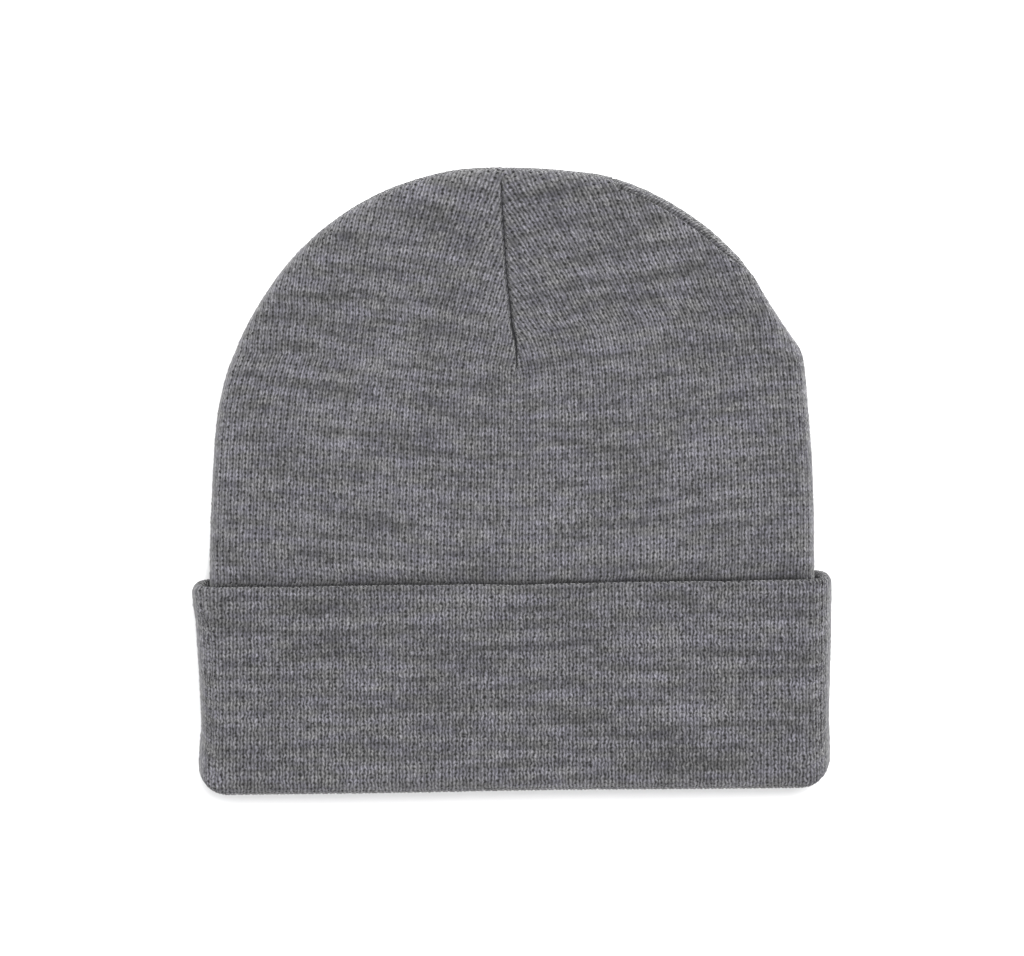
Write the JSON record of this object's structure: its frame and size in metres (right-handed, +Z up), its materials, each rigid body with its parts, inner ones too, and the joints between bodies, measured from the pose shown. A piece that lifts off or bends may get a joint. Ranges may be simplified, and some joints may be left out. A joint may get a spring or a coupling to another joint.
{
  "type": "cuffed beanie",
  "caption": "Cuffed knit beanie in marled grey, lying flat on its back: hollow two-layer crown closed by four darts, and a deep turned-up cuff round an open mouth.",
  "frame": {"origin": "on the surface that the hat lies on, under the middle of its bounding box", "axes": "+X to the hat's right-hand side as seen from above, +Y from the mouth to the top of the crown, +Z up from the surface, through its thickness"},
  "size_m": [0.2248, 0.2215, 0.0268],
  "materials": {
    "crown_knit": "marled plain knit, matt",
    "cuff_knit": "marled plain knit, matt",
    "seam_yarn": "linked seam yarn, matt"
  },
  "bodies": {
    "root": {"crown": "crown_knit", "cuff": "cuff_knit", "front_dart_seam": "seam_yarn", "right_dart_seam": "seam_yarn", "left_dart_seam": "seam_yarn", "back_dart_seam": "seam_yarn"}
  },
  "joints": []
}
